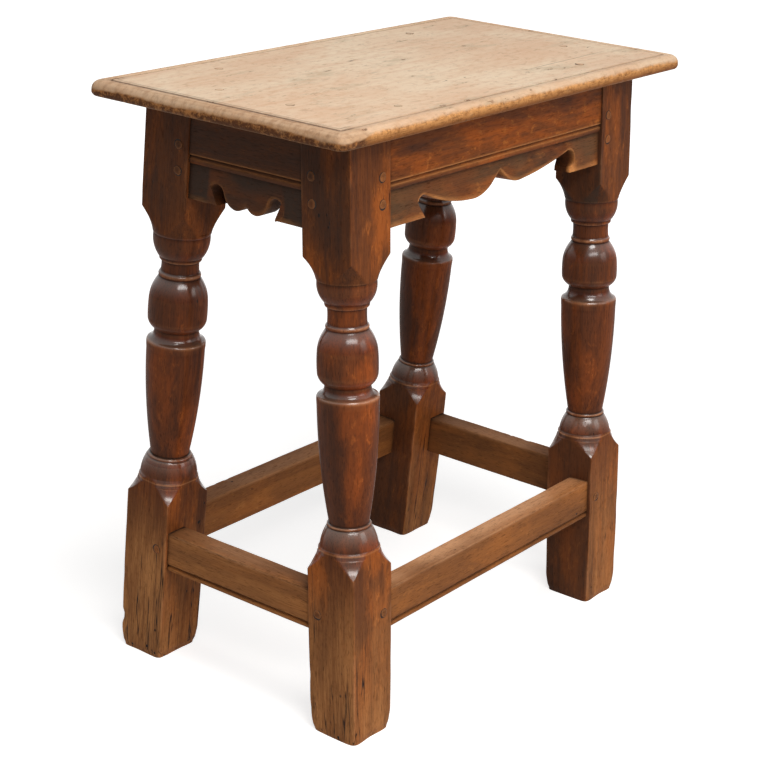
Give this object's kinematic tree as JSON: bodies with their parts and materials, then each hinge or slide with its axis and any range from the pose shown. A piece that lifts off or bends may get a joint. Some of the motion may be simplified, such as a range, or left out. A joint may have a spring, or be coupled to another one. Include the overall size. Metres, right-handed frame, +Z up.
{
  "type": "joint stool",
  "caption": "Oak joint stool with a moulded plank seat, scroll-cut moulded rails, turned legs that splay front to back, low box stretchers and pegged joints.",
  "frame": {"origin": "on the floor, under the middle of the seat", "axes": "+X along the length of the seat, +Y towards the back, +Z up; the front long rail faces -Y"},
  "size_m": [0.528, 0.292, 0.5603],
  "materials": {
    "seat_oak": "worn pale oak with a thin old wax, browner on its moulded edge",
    "leg_oak": "dark reddish-brown oak, old polish, glossy on the turnings and worn warm on the arrises",
    "rail_oak": "dark reddish-brown oak with a waxed sheen",
    "stretcher_oak": "mid-brown oak, rubbed pale along the top arris",
    "peg_oak": "riven oak pegs, end grain, dark with age"
  },
  "bodies": {
    "root": {"seat_board": "seat_oak", "leg_back_left": "leg_oak", "leg_back_right": "leg_oak", "leg_front_left": "leg_oak", "leg_front_right": "leg_oak", "rail_back": "rail_oak", "rail_front": "rail_oak", "rail_left": "rail_oak", "rail_right": "rail_oak", "stretcher_back": "stretcher_oak", "stretcher_front": "stretcher_oak", "stretcher_left": "stretcher_oak", "stretcher_right": "stretcher_oak", "rail_pegs_back_left_end": "peg_oak", "rail_pegs_back_left_face": "peg_oak", "rail_pegs_back_right_end": "peg_oak", "rail_pegs_back_right_face": "peg_oak", "rail_pegs_front_left_end": "peg_oak", "rail_pegs_front_left_face": "peg_oak", "rail_pegs_front_right_end": "peg_oak", "rail_pegs_front_right_face": "peg_oak", "seat_pegs_back": "peg_oak", "seat_pegs_front": "peg_oak", "seat_pegs_left": "peg_oak", "seat_pegs_right": "peg_oak", "stretcher_peg_back_left_end": "peg_oak", "stretcher_peg_back_left_face": "peg_oak", "stretcher_peg_back_right_end": "peg_oak", "stretcher_peg_back_right_face": "peg_oak", "stretcher_peg_front_left_end": "peg_oak", "stretcher_peg_front_left_face": "peg_oak", "stretcher_peg_front_right_end": "peg_oak", "stretcher_peg_front_right_face": "peg_oak"}
  },
  "joints": []
}
